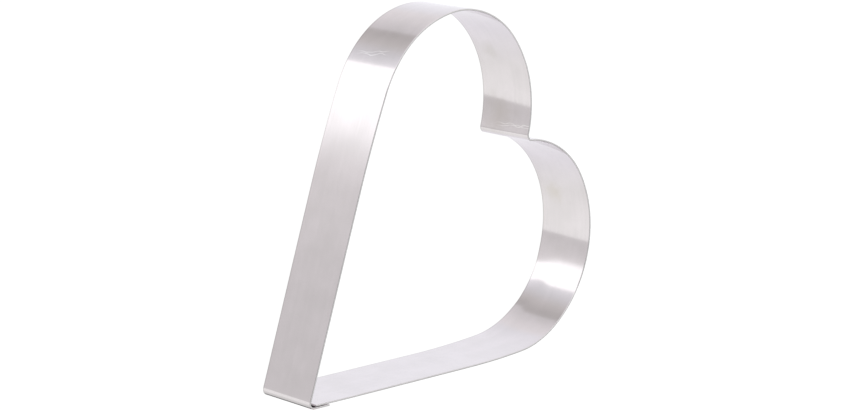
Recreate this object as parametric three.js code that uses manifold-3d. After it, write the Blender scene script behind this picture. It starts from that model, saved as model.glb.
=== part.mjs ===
// Heart mousse ring: one strip of bright stainless sheet, folded at the notch, rolled round two
// lobes and lapped over itself at the tip, where a row of spot welds closes it.
// Millimetres, +Z up. The ring lies as on a tray, tip towards -Y, centred over the origin.

import * as THREE from 'three';
import { mergeVertices } from 'three/addons/utils/BufferGeometryUtils.js';
import Module from 'manifold-3d';

const wasm = await Module();
wasm.setup();

// Driving dimensions of the heart
const lobeOutsideRadius = 60;
const lobeSpacing = 95; // between the centres of the two lobes
const tipAngle = 74; // degrees between the two legs
const bowRadius = 660; // of the slight bow that eases each leg into its lobe
const bowAngle = 4.6; // degrees that a leg turns along its bow

// Driving dimensions of the strip
const bandHeight = 35;
const sheetThickness = 1;
const bendRadius = 2.5; // inside radius of the folds at the tip and the notch
const edgeBreak = 0.15; // chamfer that takes the burr off the long edges

// Driving dimensions of the lap at the tip
const lapLength = 10; // how far the outer tab covers the inner end of the strip
const lapGap = 0.3; // between the tab and the leg that it lies on
const innerEndClearance = 1; // from the end of the tip fold to the inner end of the strip

// Driving dimensions of the spot welds
const weldCount = 3;
const weldDiameter = 4.5;
const dimpleDiameter = 5; // the mark that the electrode leaves on the tab
const dimpleDepth = 0.12;

// Facets
const chordError = 0.01; // how far a facet may cut inside its true arc
const roundSides = 32; // around a weld and around its dimple
const dimpleSteps = 4; // from the middle of a dimple to its rim
const mergeTolerance = 1e-5;

// Values that follow from the driving dimensions
const halfSheet = sheetThickness / 2;
const quarterTurn = Math.PI / 2;
const halfTip = THREE.MathUtils.degToRad(tipAngle) / 2;
const bowSweep = THREE.MathUtils.degToRad(bowAngle);
const legHeading = quarterTurn - halfTip;
const lobeHeading = legHeading + bowSweep;
const lobeRadius = lobeOutsideRadius - halfSheet;
const foldRadius = bendRadius + halfSheet;

const polar = (angle, radius) => new THREE.Vector2(radius * Math.cos(angle), radius * Math.sin(angle));
const mirrored = (point) => new THREE.Vector2(-point.x, point.y);

// The middle line of the strip. The two lobe centres lie on y = 0 and the heart is symmetric about x = 0.
const legDirection = polar(legHeading, 1);
const legOutwards = polar(legHeading - quarterTurn, 1);
const lobeCentre = new THREE.Vector2(lobeSpacing / 2, 0);
const bowCentre = polar(lobeHeading - quarterTurn, lobeRadius - bowRadius).add(lobeCentre);
const bowStart = polar(legHeading - quarterTurn, bowRadius).add(bowCentre);
const tipCorner = new THREE.Vector2(0, bowStart.y - bowStart.x / Math.tan(halfTip));

// The notch fold touches both lobes from outside the heart.
const notchReach = lobeRadius + foldRadius;
const notchCentre = new THREE.Vector2(0, Math.sqrt(notchReach ** 2 - lobeCentre.x ** 2));
const notchAngle = notchCentre.clone().sub(lobeCentre).angle();

// The tab lies outside the right leg, so the left leg runs on to a corner below the tip.
const lapOffset = sheetThickness + lapGap;
const tabCorner = mirrored(legDirection).multiplyScalar(-lapOffset / Math.sin(2 * halfTip)).add(tipCorner);
const tipFoldCentre = new THREE.Vector2(0, foldRadius / Math.sin(halfTip)).add(tabCorner);
const tipFoldStart = polar(-legHeading - quarterTurn, foldRadius).add(tipFoldCentre);
const tabStart = polar(legHeading - quarterTurn, foldRadius).add(tipFoldCentre);
const innerEnd = tabStart.clone().addScaledVector(legOutwards, -lapOffset)
  .addScaledVector(legDirection, innerEndClearance);
const tabEnd = tabStart.clone().addScaledVector(legDirection, innerEndClearance + lapLength);

// A run of the strip gives the points after its start, at an offset to the outside of the ring.
function straightRun(from, to) {
  const outwards = polar(to.clone().sub(from).angle() - quarterTurn, 1);
  return (offset) => [to.clone().addScaledVector(outwards, offset)];
}

// A positive sweep turns the strip towards the inside of the ring.
function roundRun(centre, radius, startAngle, sweep) {
  const steps = Math.ceil(Math.abs(sweep) / (2 * Math.acos(1 - chordError / radius)));
  return (offset) => {
    const r = radius + Math.sign(sweep) * offset;
    const arc = new THREE.EllipseCurve(centre.x, centre.y, r, r, startAngle, startAngle + sweep, sweep < 0);
    return arc.getPoints(steps).slice(1);
  };
}

const lobeSweep = notchAngle - (lobeHeading - quarterTurn);
const stripRuns = [
  straightRun(innerEnd, bowStart),
  roundRun(bowCentre, bowRadius, legHeading - quarterTurn, bowSweep),
  roundRun(lobeCentre, lobeRadius, lobeHeading - quarterTurn, lobeSweep),
  roundRun(notchCentre, foldRadius, notchAngle + Math.PI, Math.PI - 2 * notchAngle),
  roundRun(mirrored(lobeCentre), lobeRadius, Math.PI - notchAngle, lobeSweep),
  roundRun(mirrored(bowCentre), bowRadius, 3 * quarterTurn - lobeHeading, bowSweep),
  straightRun(mirrored(bowStart), tipFoldStart),
  roundRun(tipFoldCentre, foldRadius, -legHeading - quarterTurn, 2 * legHeading),
  straightRun(tabStart, tabEnd),
];

// A closed solid without repeated vertices, ready to be cut.
function solidFrom(geometry) {
  const positions = new THREE.BufferGeometry();
  positions.setAttribute('position', geometry.attributes.position);
  positions.setIndex(geometry.index);
  const merged = mergeVertices(positions, mergeTolerance);
  const corners = merged.index.array;
  const triVerts = [];
  for (let i = 0; i < corners.length; i += 3) {
    const [a, b, c] = corners.slice(i, i + 3);
    if (a !== b && b !== c && c !== a) triVerts.push(a, b, c);
  }
  return new wasm.Manifold(new wasm.Mesh({
    numProp: 3,
    vertProperties: new Float32Array(merged.attributes.position.array),
    triVerts: new Uint32Array(triVerts),
  }));
}

function geometryFrom(solid) {
  const { vertProperties, triVerts } = solid.getMesh();
  const geometry = new THREE.BufferGeometry();
  geometry.setAttribute('position', new THREE.BufferAttribute(vertProperties, 3));
  geometry.setIndex(new THREE.BufferAttribute(triVerts, 1));
  return geometry;
}

// The bent strip, standing on its edge, with both long edges deburred.
function bentStrip() {
  const side = (offset) => [
    innerEnd.clone().addScaledVector(legOutwards, offset),
    ...stripRuns.flatMap((run) => run(offset)),
  ];
  const outline = new THREE.Shape([...side(halfSheet), ...side(-halfSheet).reverse()]);
  const strip = new THREE.ExtrudeGeometry(outline, {
    depth: bandHeight - 2 * edgeBreak,
    bevelThickness: edgeBreak,
    bevelSize: edgeBreak,
    bevelOffset: -edgeBreak,
    bevelSegments: 1,
  });
  return strip.translate(0, 0, edgeBreak);
}

// The spot welds stand in a column up the middle of the lap.
const weldColumn = innerEnd.clone().addScaledVector(legDirection, lapLength / 2);
const acrossLap = legHeading - Math.PI; // turns +Y to point out of the lap
const weldHeights = Array.from({ length: weldCount }, (_, i) => (i + 0.5) * bandHeight / weldCount);

// A point of the weld column, so far outside the middle of the inner sheet.
function inLap(outside, height) {
  const place = weldColumn.clone().addScaledVector(legOutwards, outside);
  return new THREE.Vector3(place.x, place.y, height);
}

// The domed tip of an electrode, whose rim lies on y = 0.
function electrodeTip() {
  const rimRadius = dimpleDiameter / 2;
  const domeRadius = (rimRadius ** 2 + dimpleDepth ** 2) / (2 * dimpleDepth);
  const rimAngle = Math.asin(rimRadius / domeRadius);
  const profile = Array.from({ length: dimpleSteps + 1 }, (_, i) => {
    const angle = rimAngle * i / dimpleSteps;
    return new THREE.Vector2(domeRadius * Math.sin(angle), domeRadius * (1 - Math.cos(angle)) - dimpleDepth);
  });
  profile.push(new THREE.Vector2(rimRadius, sheetThickness), new THREE.Vector2(0, sheetThickness));
  return new THREE.LatheGeometry(profile, roundSides);
}

function heartBand() {
  const tabFace = lapOffset + halfSheet;
  const dimpled = weldHeights.reduce((strip, height) => {
    const { x, y, z } = inLap(tabFace, height);
    return strip.subtract(solidFrom(electrodeTip().rotateZ(acrossLap).translate(x, y, z)));
  }, solidFrom(bentStrip()));
  const steel = new THREE.MeshStandardMaterial({
    color: 0xd6d3d6, roughness: 0.16, metalness: 1, flatShading: true,
  });
  const band = new THREE.Mesh(geometryFrom(dimpled), steel);
  band.name = 'heart_band';
  return band;
}

// A weld is the disc of fused steel that bridges the gap in the lap.
function spotWeld(height, index) {
  const disc = new THREE.CylinderGeometry(weldDiameter / 2, weldDiameter / 2, lapGap, roundSides);
  const fusedSteel = new THREE.MeshStandardMaterial({ color: 0xa39a90, roughness: 0.45, metalness: 1 });
  const weld = new THREE.Mesh(disc, fusedSteel);
  weld.name = `spot_weld_${index + 1}`;
  weld.position.copy(inLap(halfSheet + lapGap / 2, height));
  weld.rotation.z = acrossLap;
  return weld;
}

const heartMousseRing = new THREE.Group();
heartMousseRing.add(heartBand(), ...weldHeights.map(spotWeld));

// The origin is under the middle of the ring's bounding box.
const lowestPoint = tipFoldCentre.y - bendRadius - sheetThickness;
heartMousseRing.position.y = -(lobeOutsideRadius + lowestPoint) / 2;

export default heartMousseRing;
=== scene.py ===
from math import atan2, cos, pi, radians, sin, sqrt, tan

import bpy
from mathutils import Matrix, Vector


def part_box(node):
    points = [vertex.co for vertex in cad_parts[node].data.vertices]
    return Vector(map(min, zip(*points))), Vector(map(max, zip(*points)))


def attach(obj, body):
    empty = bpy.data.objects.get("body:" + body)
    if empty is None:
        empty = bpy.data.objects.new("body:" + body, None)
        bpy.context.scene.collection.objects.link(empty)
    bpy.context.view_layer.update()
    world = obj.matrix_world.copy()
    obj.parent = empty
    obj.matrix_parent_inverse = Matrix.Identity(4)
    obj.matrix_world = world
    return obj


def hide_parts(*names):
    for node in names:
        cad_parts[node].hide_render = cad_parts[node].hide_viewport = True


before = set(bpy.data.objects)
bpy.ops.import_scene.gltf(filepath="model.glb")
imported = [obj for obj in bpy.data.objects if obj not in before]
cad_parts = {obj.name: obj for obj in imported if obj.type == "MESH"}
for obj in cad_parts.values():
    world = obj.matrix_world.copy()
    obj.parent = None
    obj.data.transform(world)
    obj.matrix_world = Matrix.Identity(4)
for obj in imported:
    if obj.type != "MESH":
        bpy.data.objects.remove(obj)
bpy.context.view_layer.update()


# Heart band: one strip of 1 mm stainless sheet, bent on edge into a heart.
# The strip starts just inside the tip, runs up the right leg, is rolled into two lobes with a
# tight fold at the notch between them, and ends in a tab folded round the tip over its own start.
sheet = 0.001
lobe_outside_radius = 0.060
lobe_spacing = 0.095
tip_angle = radians(74)
bow_radius = 0.660
bow_angle = radians(4.6)
inside_bend_radius = 0.0025
lap_length = 0.010
lap_gap = 0.0003
inner_end_clearance = 0.001
deburr_radius = 0.0003

band_low, band_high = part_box("heart_band")
band_height = band_high.z - band_low.z


def heading(angle):
    """Unit vector in plan at an angle from +X."""
    return Vector((cos(angle), sin(angle), 0))


quarter_turn = pi / 2
lobe_radius = lobe_outside_radius - sheet / 2
fold_radius = inside_bend_radius + sheet / 2
lap_step = sheet + lap_gap
leg_heading = quarter_turn - tip_angle / 2
bow_heading = leg_heading + bow_angle
leg_outward = heading(leg_heading - quarter_turn)

lobe_centre = Vector((lobe_spacing / 2, band_high.y - lobe_outside_radius, 0))
left_lobe_centre = Vector((-lobe_centre.x, lobe_centre.y, 0))
bow_centre = lobe_centre + (lobe_radius - bow_radius) * heading(bow_heading - quarter_turn)
left_bow_centre = Vector((-bow_centre.x, bow_centre.y, 0))
bow_start = bow_centre + bow_radius * leg_outward
left_bow_end = Vector((-bow_start.x, bow_start.y, 0))

notch_rise = sqrt((lobe_radius + fold_radius) ** 2 - lobe_centre.x ** 2)
notch_centre = Vector((0, lobe_centre.y + notch_rise, 0))
lobe_end_angle = atan2(notch_rise, -lobe_centre.x)
lobe_sweep = lobe_end_angle - (bow_heading - quarter_turn)
notch_sweep = pi - 2 * lobe_end_angle

tip_corner = Vector((0, bow_start.y - bow_start.x / tan(tip_angle / 2), 0))
left_leg_up = heading(pi - leg_heading)
tab_corner = tip_corner - lap_step / sin(tip_angle) * left_leg_up
tip_fold_centre = tab_corner + Vector((0, fold_radius / sin(tip_angle / 2), 0))
tip_fold_start = tip_fold_centre + fold_radius * heading(-leg_heading - quarter_turn)
tip_sweep = 2 * leg_heading
tab_start = tip_fold_centre + fold_radius * leg_outward
inner_end = tab_start - lap_step * leg_outward + inner_end_clearance * heading(leg_heading)
tab_length = inner_end_clearance + lap_length

band_rows = 14
leg_columns = 48
bow_columns = 20
lobe_columns = 144
fold_columns = 28
tab_columns = 8
touching = 1e-5


def standing_strip(name, start, end, foot, head, columns=1, rows=1):
    """A straight strip on edge, left in edit mode with its last column of edges selected."""
    bpy.ops.object.select_all(action="DESELECT")
    run = end - start
    middle = (start + end) / 2 + Vector((0, 0, (foot + head) / 2))
    bpy.ops.mesh.primitive_grid_add(
        x_subdivisions=columns, y_subdivisions=rows, size=1, location=middle,
        rotation=(quarter_turn, 0, atan2(run.y, run.x)))
    strip = bpy.context.object
    strip.name = name
    strip.scale = (run.length, head - foot, 1)
    bpy.ops.object.transform_apply(location=True, rotation=True, scale=True)
    bpy.ops.object.mode_set(mode="EDIT")
    bpy.ops.mesh.select_all(action="DESELECT")
    bpy.ops.object.mode_set(mode="OBJECT")
    for vertex in strip.data.vertices:
        vertex.select = (vertex.co.xy - end.xy).length < touching
    bpy.ops.object.mode_set(mode="EDIT")
    return strip


def bend_on(centre, sweep, columns):
    """Carries the strip on round an upright axis, from the column of edges that is selected."""
    bpy.ops.mesh.spin(steps=columns, angle=-sweep, center=centre, axis=(0, 0, 1))


def run_on(start, end, columns=1):
    """Carries the strip straight on, from the column of edges that is selected."""
    bpy.ops.mesh.extrude_repeat(steps=columns, offset=(end - start) / columns)


band = standing_strip("stainless_band", inner_end, bow_start, 0, band_height, leg_columns, band_rows)
bend_on(bow_centre, bow_angle, bow_columns)
bend_on(lobe_centre, lobe_sweep, lobe_columns)
bend_on(notch_centre, notch_sweep, fold_columns)
bend_on(left_lobe_centre, lobe_sweep, lobe_columns)
bend_on(left_bow_centre, bow_angle, bow_columns)
run_on(left_bow_end, tip_fold_start, leg_columns)
bend_on(tip_fold_centre, tip_sweep, fold_columns)
run_on(tab_start, tab_start + tab_length * heading(leg_heading), tab_columns)
bpy.ops.mesh.select_all(action="SELECT")
bpy.ops.mesh.remove_doubles(threshold=touching)
bpy.ops.mesh.normals_make_consistent(inside=False)
bpy.ops.object.mode_set(mode="OBJECT")


def nudge(strip, middle, half_length, height, shift, reach):
    """Pushes a stretch of a long edge sideways, and with it the sheet within reach."""
    bpy.ops.object.mode_set(mode="EDIT")
    bpy.ops.mesh.select_all(action="DESELECT")
    bpy.ops.object.mode_set(mode="OBJECT")
    for vertex in strip.data.vertices:
        on_edge = abs(vertex.co.z - height) < touching
        vertex.select = on_edge and (vertex.co.xy - middle.xy).length < half_length
    bpy.ops.object.mode_set(mode="EDIT")
    bpy.ops.transform.translate(
        value=shift, use_proportional_edit=True, proportional_edit_falloff="SMOOTH",
        proportional_size=reach)
    bpy.ops.object.mode_set(mode="OBJECT")


# Hand bending leaves the right leg leaning out a little, its rim most of all where the lobe starts.
lobe_start = lobe_centre + lobe_radius * heading(bow_heading - quarter_turn)
lean_share = 0.588
lean_half_length = 0.0665
lean_middle = inner_end.lerp(lobe_start, lean_share)
nudge(band, lean_middle, lean_half_length, height=0, shift=-0.00035 * leg_outward, reach=0.025)
nudge(band, lean_middle, lean_half_length, height=band_height, shift=0.0002 * leg_outward, reach=0.034)
nudge(band, lobe_start, half_length=0.015, height=band_height, shift=0.0004 * leg_outward, reach=0.040)

# The left lobe is a little flat at the side.
flat_angle = radians(198)
flat_middle = left_lobe_centre + lobe_radius * heading(flat_angle)
nudge(band, flat_middle, half_length=0.035, height=band_height,
      shift=-0.0003 * heading(flat_angle), reach=0.080)

# Knocks have pushed the right lobe's bottom edge out and in.
for angle, push, reach in ((radians(25), 0.0006, 0.016), (radians(10), 0.0004, 0.013),
                           (radians(-16), -0.0002, 0.020)):
    knock = lobe_centre + lobe_radius * heading(angle)
    nudge(band, knock, half_length=0.0012, height=0, shift=push * heading(angle), reach=reach)

# The rim is slightly wide round the back of both lobes.
for centre, angle in ((lobe_centre, radians(116)), (left_lobe_centre, radians(125))):
    back = centre + lobe_radius * heading(angle)
    nudge(band, back, half_length=0.016, height=band_height, shift=0.0005 * heading(angle), reach=0.028)


def add_node(tree, kind, inputs=(), **settings):
    """Adds a shader node with its settings, and a value or a socket to read for each input named."""
    node = tree.nodes.new("ShaderNode" + kind)
    for name, setting in settings.items():
        setattr(node, name, setting)
    for name, given in dict(inputs).items():
        if isinstance(given, bpy.types.NodeSocket):
            tree.links.new(given, node.inputs[name])
        else:
            node.inputs[name].default_value = given
    return node


def new_tree(name):
    """An empty material, its node tree and its metal shader."""
    material = bpy.data.materials.new(name)
    material.use_nodes = True
    tree = material.node_tree
    return material, tree, tree.nodes["Principled BSDF"]


def scratch(tree, place, centre, across, reach, course):
    """How far each spot lies in a light scratch that wavers along its own course through a centre."""
    wander = 0.006
    half_width = 0.0001
    soft_edge = 0.0003
    fade_start = 0.7 * reach
    aside = add_node(tree, "VectorMath", {0: place, 1: centre}, operation="SUBTRACT")
    offset = add_node(tree, "VectorMath", {0: aside.outputs[0], 1: across}, operation="DOT_PRODUCT")
    far = add_node(tree, "VectorMath", {0: aside.outputs[0]}, operation="LENGTH")
    waver = add_node(tree, "TexNoise", {
        "Vector": place, "W": course, "Scale": 130.0, "Detail": 1.0}, noise_dimensions="4D")
    swing = add_node(tree, "Math", {0: waver.outputs["Fac"], 1: 0.5}, operation="SUBTRACT")
    drifted = add_node(tree, "Math", {
        0: swing.outputs[0], 1: wander, 2: offset.outputs["Value"]}, operation="MULTIPLY_ADD")
    off_line = add_node(tree, "Math", {0: drifted.outputs[0]}, operation="ABSOLUTE")
    in_line = add_node(tree, "MapRange", {
        "Value": off_line.outputs[0], "From Min": half_width, "From Max": soft_edge,
        "To Min": 1.0, "To Max": 0.0})
    fade = add_node(tree, "MapRange", {
        "Value": far.outputs["Value"], "From Min": fade_start, "From Max": reach,
        "To Min": 1.0, "To Max": 0.0})
    return add_node(tree, "Math", {
        0: in_line.outputs["Result"], 1: fade.outputs["Result"]}, operation="MULTIPLY")


def painted_dim_patch(tree, place, centre, reach):
    """How far each spot lies in a ragged patch round a centre, where a dim reflection is painted."""
    core = 0.5 * reach
    outskirts = 1.4 * reach
    strongest = 0.7
    away = add_node(tree, "VectorMath", {0: place, 1: centre}, operation="DISTANCE")
    ragged = add_node(tree, "TexNoise", {"Vector": place, "Scale": 160.0, "Detail": 2.0})
    uneven = add_node(tree, "Math", {
        0: ragged.outputs["Fac"], 1: reach, 2: away.outputs["Value"]}, operation="MULTIPLY_ADD")
    return add_node(tree, "MapRange", {
        "Value": uneven.outputs[0], "From Min": core, "From Max": outskirts,
        "To Min": strongest, "To Max": 0.0}, interpolation_type="SMOOTHSTEP")


def mark(tree, colour, share, tint):
    """Lays a tint over a colour by a share."""
    node = add_node(tree, "Mix", {"Factor": share.outputs[0], "A": colour}, data_type="RGBA")
    node.inputs["B"].default_value = tint
    return node.outputs["Result"]


def bright_sheet():
    """Bright rolled stainless: grain along the strip, soft smudges, a slight waviness, use marks,
    painted dim reflections and a painted contact shadow.
    """
    clean_steel = (0.758, 0.720, 0.739, 1)
    smudged_steel = (0.712, 0.679, 0.692, 1)
    scratch_shine = (0.90, 0.88, 0.88, 1)
    # The grey of the painted contact shadow along the bottom edge.
    contact_shadow_grey = (0.40, 0.39, 0.38, 1)
    bands_share = 0.4
    grain_share = 0.2
    material, tree, metal = new_tree("bright_sheet")
    place = add_node(tree, "TexCoord").outputs["Object"]
    fine_grain = add_node(tree, "Mapping", {"Vector": place, "Scale": (14, 14, 1200)})
    grain = add_node(tree, "TexNoise", {"Vector": fine_grain.outputs[0], "Scale": 1.0, "Detail": 4.0})
    broad_grain = add_node(tree, "Mapping", {"Vector": place, "Scale": (7, 7, 240)})
    bands = add_node(tree, "TexNoise", {"Vector": broad_grain.outputs[0], "Scale": 1.0, "Detail": 3.0})
    smudges = add_node(tree, "TexNoise", {"Vector": place, "Scale": 70.0, "Detail": 3.0})
    both = add_node(tree, "Math", {
        0: bands.outputs["Fac"], 1: bands_share, 2: smudges.outputs["Fac"]}, operation="MULTIPLY_ADD")
    brushed = add_node(tree, "Math", {
        0: grain.outputs["Fac"], 1: grain_share, 2: both.outputs[0]}, operation="MULTIPLY_ADD")
    patchy = add_node(tree, "MapRange", {"Value": brushed.outputs[0], "From Min": 0.6, "From Max": 1.0})
    tint = add_node(tree, "Mix", {"Factor": patchy.outputs["Result"]}, data_type="RGBA")
    tint.inputs["A"].default_value = clean_steel
    tint.inputs["B"].default_value = smudged_steel
    colour = tint.outputs["Result"]

    # Light scratches, in pairs: the die's beside the notch, and a rub on the left lobe.
    for course, (centre, across, reach) in enumerate((
            ((-0.0047, 0.0929, 0.027), (-0.694, 0.718, -0.05), 0.017),
            ((-0.0057, 0.0939, 0.027), (-0.694, 0.718, -0.05), 0.017),
            ((-0.106, 0.0381, 0.015), (0, 0.98, -0.18), 0.011),
            ((-0.106, 0.0395, 0.015), (0, 0.98, -0.18), 0.011))):
        drawn = scratch(tree, place, centre, across, reach, course)
        colour = mark(tree, colour, drawn, scratch_shine)

    # Painted reflections: dull, warm patches inside the lobes and beside the notch stand in for dim
    # things mirrored there.
    for centre, reach, dim_reflection in (
            ((-0.0432, 0.1112, 0.0112), 0.009, (0.66, 0.63, 0.62, 1)),
            ((-0.009, 0.0975, 0.012), 0.015, (0.63, 0.59, 0.565, 1)),
            ((0.0657, 0.1085, 0.0105), 0.010, (0.67, 0.63, 0.59, 1))):
        colour = mark(tree, colour, painted_dim_patch(tree, place, centre, reach), dim_reflection)

    # Painted shadow: the steel is darkened along the bottom edge, where it sits on the table, as a
    # contact shadow.
    parts = add_node(tree, "SeparateXYZ", {0: place})
    painted_contact_shadow = add_node(tree, "MapRange", {
        "Value": parts.outputs["Z"], "From Min": 0.0002, "From Max": 0.0010,
        "To Min": 0.55, "To Max": 0.0})
    colour = mark(tree, colour, painted_contact_shadow, contact_shadow_grey)

    streak = add_node(tree, "MapRange", {
        "Value": grain.outputs["Fac"], "From Min": 0.3, "From Max": 0.7, "To Min": 0.09, "To Max": 0.14})
    waves = add_node(tree, "TexNoise", {"Vector": place, "Scale": 20.0, "Detail": 1.0})
    buckle = add_node(tree, "Bump", {"Height": waves.outputs["Fac"], "Distance": 0.0002})
    shade = add_node(tree, "Bump", {
        "Height": grain.outputs["Fac"], "Distance": 0.000002, "Normal": buckle.outputs["Normal"]})
    tree.links.new(colour, metal.inputs["Base Color"])
    tree.links.new(streak.outputs["Result"], metal.inputs["Roughness"])
    tree.links.new(shade.outputs["Normal"], metal.inputs["Normal"])
    metal.inputs["Metallic"].default_value = 1.0
    return material


def sheared_edge():
    """The cut edge of the sheet, left dull by the shears and the deburring wheel."""
    material, tree, metal = new_tree("sheared_edge")
    place = add_node(tree, "TexCoord").outputs["Object"]
    drag = add_node(tree, "TexNoise", {"Vector": place, "Scale": 900.0, "Detail": 3.0})
    wear = add_node(tree, "MapRange", {
        "Value": drag.outputs["Fac"], "From Min": 0.3, "From Max": 0.7, "To Min": 0.30, "To Max": 0.44})
    tree.links.new(wear.outputs["Result"], metal.inputs["Roughness"])
    metal.inputs["Base Color"].default_value = (0.66, 0.66, 0.65, 1)
    metal.inputs["Metallic"].default_value = 1.0
    return material


band.data.materials.append(bright_sheet())
band.data.materials.append(sheared_edge())


def apply_modifier(piece, kind, **settings):
    """Puts one modifier on a piece and applies it."""
    modifier = piece.modifiers.new(kind.lower(), kind)
    for name, setting in settings.items():
        setattr(modifier, name, setting)
    bpy.context.view_layer.objects.active = piece
    bpy.ops.object.modifier_apply(modifier=modifier.name)


apply_modifier(band, "SOLIDIFY", thickness=sheet, offset=0, use_even_offset=True, material_offset_rim=1)
apply_modifier(band, "BEVEL", width=deburr_radius, segments=4, limit_method="ANGLE",
               angle_limit=radians(60), material=0)

# Each electrode of the spot welder leaves a shallow round dimple in the tab. A ball squashed to twice
# the dimple's depth, with its centre one depth off the tab, cuts a circle of the dimple's radius.
dimple_radius = 0.0025
dimple_depth = 0.00012
ball_radius = 2 * dimple_radius / sqrt(3)
weld_nodes = ["spot_weld_1", "spot_weld_2", "spot_weld_3"]
for node in weld_nodes:
    weld_low, weld_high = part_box(node)
    tab_face = (weld_low + weld_high) / 2 + (lap_gap / 2 + sheet) * leg_outward
    bpy.ops.object.select_all(action="DESELECT")
    bpy.ops.mesh.primitive_uv_sphere_add(
        segments=48, ring_count=32, radius=1, location=tab_face + dimple_depth * leg_outward,
        rotation=(0, quarter_turn, leg_heading - quarter_turn))
    electrode = bpy.context.object
    electrode.scale = (ball_radius, ball_radius, 2 * dimple_depth)
    bpy.ops.object.transform_apply(location=True, rotation=True, scale=True)
    apply_modifier(band, "BOOLEAN", operation="DIFFERENCE", object=electrode)
    bpy.data.objects.remove(electrode)

bpy.ops.object.select_all(action="DESELECT")
band.select_set(True)
bpy.context.view_layer.objects.active = band
bpy.ops.object.shade_smooth_by_angle(angle=radians(5))
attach(band, "root")
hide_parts("heart_band")


# Spot welds: three nuggets of the sheet's own steel, melted together inside the lap.
# They hold the tab to the start of the right leg, in a column up the middle of the lap.
def weld_steel():
    """Once molten steel, dull grey with a straw-coloured bloom."""
    material, tree, metal = new_tree("weld_nugget")
    place = add_node(tree, "TexCoord").outputs["Object"]
    grit = add_node(tree, "TexNoise", {"Vector": place, "Scale": 1500.0, "Detail": 4.0})
    tint = add_node(tree, "Mix", {"Factor": grit.outputs["Fac"]}, data_type="RGBA")
    tint.inputs["A"].default_value = (0.42, 0.39, 0.36, 1)
    tint.inputs["B"].default_value = (0.58, 0.52, 0.44, 1)
    lumps = add_node(tree, "Bump", {"Height": grit.outputs["Fac"], "Distance": 0.00005})
    tree.links.new(tint.outputs["Result"], metal.inputs["Base Color"])
    tree.links.new(lumps.outputs["Normal"], metal.inputs["Normal"])
    metal.inputs["Metallic"].default_value = 1.0
    metal.inputs["Roughness"].default_value = 0.42
    return material


nugget = weld_steel()
for node in weld_nodes:
    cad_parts[node].material_slots[0].material = nugget


# Floor: a plain white table that the ring lies flat on, bottom edge down.
# It glows a little as well as catching light, so it stays white and keeps a soft shadow, and it is
# clear from below, so that the bottom edge can be seen.
floor_size = 8
floor_drop = 0.0002
glow_strength = 1.09
shadow_share = 0.13
bpy.ops.object.select_all(action="DESELECT")
bpy.ops.mesh.primitive_plane_add(size=floor_size, location=(0, 0, -floor_drop))
floor = bpy.context.object
floor.name = "white_table"
white_table, tree, _ = new_tree("white_table")
glow = add_node(tree, "Emission", {"Color": (1, 1, 1, 1), "Strength": glow_strength})
paint = add_node(tree, "BsdfDiffuse", {"Color": (0.95, 0.95, 0.95, 1)})
blend = add_node(tree, "MixShader", {0: shadow_share, 1: glow.outputs[0], 2: paint.outputs[0]})
under = add_node(tree, "NewGeometry").outputs["Backfacing"]
clear = add_node(tree, "BsdfTransparent")
one_sided = add_node(tree, "MixShader", {0: under, 1: blend.outputs[0], 2: clear.outputs[0]})
tree.links.new(one_sided.outputs[0], tree.nodes["Material Output"].inputs["Surface"])
floor.data.materials.append(white_table)
floor.visible_glossy = False


# Light tent: white cloth round the ring, hung with the cards that the steel mirrors.
# Its near walls, from the back round the left side to the front, are a strip of cloth at arm's length,
# whose cards have edges, and the world stands for its far walls and its roof.
cool_cloth = (0.995, 1.0, 1.04)
warm_cloth = (1.025, 1.0, 1.01)
dark_flag = (1.035, 1.0, 0.985)
flag_edge = (1.0, 1.0, 1.03)
softbox = (1.0, 1.0, 1.0)
grey_card = (1.02, 1.0, 1.0)
far_cloth = (1.0, 1.0, 0.985)
lilac_cloth = (0.99, 0.985, 1.025)

# A wall's colour is blended between stops. Each stop has its bearing in degrees round from +X, its
# level, where 1 is white cloth, and its tint.
near_walls = [
    (59, 1.03, cool_cloth), (75, 1.04, cool_cloth), (93, 1.01, cool_cloth), (102, 0.97, cool_cloth),
    (111, 0.93, warm_cloth), (122, 0.865, warm_cloth), (131, 0.785, warm_cloth), (138, 0.73, warm_cloth),
    (138.4, 0.57, dark_flag), (144, 0.57, dark_flag), (154, 0.67, dark_flag), (165, 0.82, flag_edge),
    (174.8, 1.0, flag_edge), (175.2, 1.5, softbox), (206.6, 1.5, softbox),
]
valance = [(59, 1.0, softbox), (115, 1.0, softbox), (135, 1.3, softbox), (206, 1.3, softbox)]
far_walls = [
    (31, 1.01, lilac_cloth), (73, 1.04, cool_cloth), (110, 0.92, warm_cloth), (140, 0.60, dark_flag),
    (174, 1.0, flag_edge), (176, 1.5, softbox), (209, 1.5, softbox), (210.7, 1.3, softbox),
    (212, 1.035, softbox), (213, 0.935, grey_card), (215, 0.87, grey_card), (217, 0.84, grey_card),
    (220, 0.79, grey_card), (228, 0.75, grey_card), (230, 1.045, far_cloth), (255, 1.065, far_cloth),
    (275, 1.03, far_cloth), (295, 0.98, far_cloth), (340, 0.985, lilac_cloth), (367, 1.00, lilac_cloth),
]
ramp_seam = 30
brightest = 1.5


def tent_colour(tree, vector, walls):
    """The cloth's colour at each bearing of a vector, off a ramp of a wall's stops."""
    turned = add_node(tree, "Mapping", {"Vector": vector, "Rotation": (0, 0, radians(180 - ramp_seam))})
    parts = add_node(tree, "SeparateXYZ", {0: turned.outputs[0]})
    bearing = add_node(tree, "Math", {0: parts.outputs["Y"], 1: parts.outputs["X"]}, operation="ARCTAN2")
    share = add_node(tree, "MapRange", {"Value": bearing.outputs[0], "From Min": -pi, "From Max": pi})
    ramp = add_node(tree, "ValToRGB", {"Fac": share.outputs["Result"]})
    stops = ramp.color_ramp.elements
    stops.remove(stops[1])
    for number, (stop_bearing, level, cloth) in enumerate(walls):
        position = (stop_bearing - ramp_seam) / 360
        stop = stops[0] if number == 0 else stops.new(position)
        stop.position = position
        stop.color = [level / brightest * channel for channel in cloth] + [1]
    return ramp.outputs["Color"]


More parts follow.
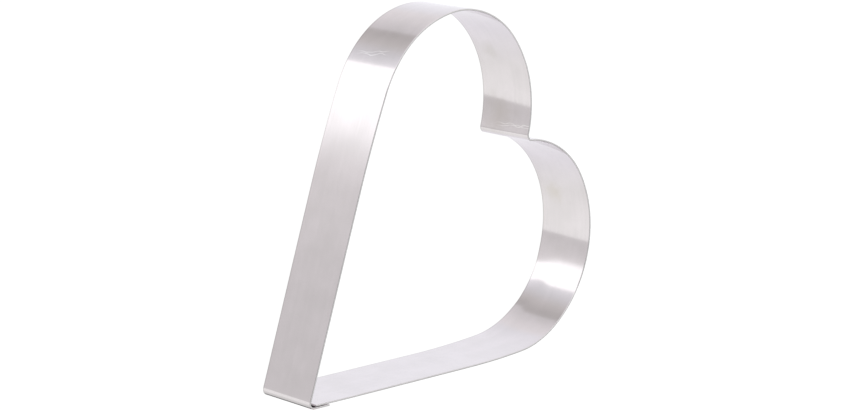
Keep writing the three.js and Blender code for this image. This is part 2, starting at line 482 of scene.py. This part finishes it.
def hang(cloth, walls, centre):
    """Lights a cloth by the bearing of its cards from a centre, for the steel alone to see."""
    material, tree, _ = new_tree(cloth.name)
    place = add_node(tree, "TexCoord").outputs["Object"]
    aside = add_node(tree, "VectorMath", {0: place, 1: centre}, operation="SUBTRACT")
    colour = tent_colour(tree, aside.outputs[0], walls)
    shine = add_node(tree, "Emission", {"Color": colour, "Strength": brightest})
    tree.links.new(shine.outputs[0], tree.nodes["Material Output"].inputs["Surface"])
    cloth.data.materials.append(material)
    cloth.visible_camera = False
    cloth.visible_diffuse = False
    cloth.visible_shadow = False


def cloth_wall(name, corners, foot, head):
    """A wall of cloth hung round a row of corners."""
    cloth = standing_strip(name, corners[0], corners[1], foot, head)
    for start, end in zip(corners[1:], corners[2:]):
        run_on(start, end)
    bpy.ops.object.mode_set(mode="OBJECT")
    return cloth


tent_middle = Vector((0, 0, 0))
tent_corners = [
    Vector((0.293, 0.489, 0)), Vector((-0.586, 0.518, 0)), Vector((-0.567, 0.049, 0)),
    Vector((-1.7, -0.85, 0)),
]
tent_foot = -2.2
valance_foot = -0.05
valance_head = 0.5
hang(cloth_wall("light_tent", tent_corners, tent_foot, valance_foot), near_walls, tent_middle)
hang(cloth_wall("tent_valance", tent_corners, valance_foot, valance_head), valance, tent_middle)

# A grey card stands close in front, its right edge leaning to the left.
card_foot = -0.9
card_start = Vector((-0.40, -0.280, 0))
card_end = Vector((-0.138, -0.287, 0))
card_lean = radians(21.6)
card_pivot = Vector((card_end.x, card_end.y, -0.325))
front_card = standing_strip("grey_card", card_start, card_end, card_foot, head=0)
bpy.ops.transform.rotate(value=card_lean, orient_axis="Y", center_override=card_pivot)
bpy.ops.object.mode_set(mode="OBJECT")
hang(front_card, [
    (213, 0.84, grey_card), (216, 0.825, grey_card), (220, 0.785, grey_card), (224, 0.757, grey_card),
    (230, 0.748, grey_card), (240, 0.74, grey_card),
], tent_middle)

# A paler card leans across the foot of it.
pale_lean = radians(30.5)
pale_pivot = Vector((-0.30, -0.279, -0.394))
pale_start = Vector((-0.64, pale_pivot.y, 0))
pale_end = Vector((-0.185, pale_pivot.y, 0))
pale_card = standing_strip("pale_card", pale_start, pale_end, card_foot, head=pale_pivot.z)
bpy.ops.mesh.select_all(action="SELECT")
bpy.ops.transform.rotate(value=pale_lean, orient_axis="Y", center_override=pale_pivot)
bpy.ops.object.mode_set(mode="OBJECT")
hang(pale_card, [
    (205, 1.4, softbox), (207.5, 1.29, softbox), (209.6, 1.125, softbox), (211, 0.995, grey_card),
    (213, 0.925, grey_card), (216, 0.873, grey_card), (220, 0.84, grey_card), (225, 0.805, grey_card),
    (230, 0.785, grey_card), (236, 0.755, grey_card),
], tent_middle)

# A narrow black flag close beside the tip gives the fold there its dark edge.
flag_gap = 0.0017
flag_foot = -0.004
flag_head = 0.034
flag_first = radians(252)
flag_second = radians(269)
flag_sweep = radians(68)
flag_columns = 4
flag_reach = fold_radius + flag_gap
flag_start = tip_fold_centre + flag_reach * heading(flag_first)
flag_next = tip_fold_centre + flag_reach * heading(flag_second)
tip_flag = standing_strip("black_flag", flag_start, flag_next, flag_foot, flag_head)
bend_on(tip_fold_centre, flag_sweep, flag_columns)
bpy.ops.object.mode_set(mode="OBJECT")
hang(tip_flag, [
    (252, 0.94, far_cloth), (270, 0.82, far_cloth), (285, 0.7, far_cloth), (302, 0.15, grey_card),
    (338, 0.1, grey_card),
], tip_fold_centre)

# Above its far walls the tent is bright overhead, and dim lower down and towards the left front.
roof_bright = 0.95
roof_dim = 0.25
left_front = (-0.815, -0.579, 0)
world = bpy.data.worlds.new("far_tent")
bpy.context.scene.world = world
world.use_nodes = True
tree = world.node_tree
direction = add_node(tree, "TexCoord").outputs["Generated"]
wall_colour = tent_colour(tree, direction, far_walls)
height = add_node(tree, "SeparateXYZ", {0: direction}).outputs["Z"]
upward = add_node(tree, "MapRange", {"Value": height, "From Min": -0.35, "From Max": -0.15})
frontward = add_node(tree, "VectorMath", {0: direction, 1: left_front}, operation="DOT_PRODUCT")
front = add_node(tree, "MapRange", {
    "Value": frontward.outputs["Value"], "From Min": 0.0, "From Max": 0.6})
low = add_node(tree, "MapRange", {
    "Value": height, "From Min": 0.45, "From Max": 0.6, "To Min": 1.0, "To Max": 0.0})
dimmed = add_node(tree, "Math", {
    0: front.outputs["Result"], 1: low.outputs["Result"]}, operation="MAXIMUM")
roof_level = add_node(tree, "MapRange", {
    "Value": dimmed.outputs[0], "To Min": roof_bright / brightest, "To Max": roof_dim / brightest})
roof = add_node(tree, "Mix", {"Factor": upward.outputs["Result"]}, data_type="RGBA")
tree.links.new(wall_colour, roof.inputs["A"])
tree.links.new(roof_level.outputs["Result"], roof.inputs["B"])
tent_light = add_node(tree, "Background", {"Color": roof.outputs["Result"], "Strength": brightest})
backdrop = add_node(tree, "Background", {"Color": (1, 1, 1, 1), "Strength": 1.0})
path = add_node(tree, "LightPath")
seen = add_node(tree, "MixShader", {
    0: path.outputs["Is Camera Ray"], 1: tent_light.outputs[0], 2: backdrop.outputs[0]})
tree.links.new(seen.outputs[0], tree.nodes["World Output"].inputs["Surface"])

# A softbox overhead lays the soft shadow on the table, and the steel doesn't mirror it.
lamp_height = 1.6
bpy.ops.object.light_add(type="AREA", location=(0, 0, lamp_height))
lamp = bpy.context.object
lamp.name = "overhead_softbox"
lamp.data.size = 1.5
lamp.data.energy = 12
lamp.visible_glossy = False


# Camera: a long lens that looks down on the ring from beyond its left leg, rolled so that the tip
# is at the bottom of the picture.
bpy.ops.object.camera_add(
    location=(-0.808815, -0.575423, 0.895077),
    rotation=(radians(-14.67393), radians(-46.91150), radians(56.54472)))
camera = bpy.context.object
camera.data.lens = 104.3345
camera.data.sensor_width = 36
bpy.context.scene.camera = camera
bpy.context.scene.view_settings.view_transform = "Standard"
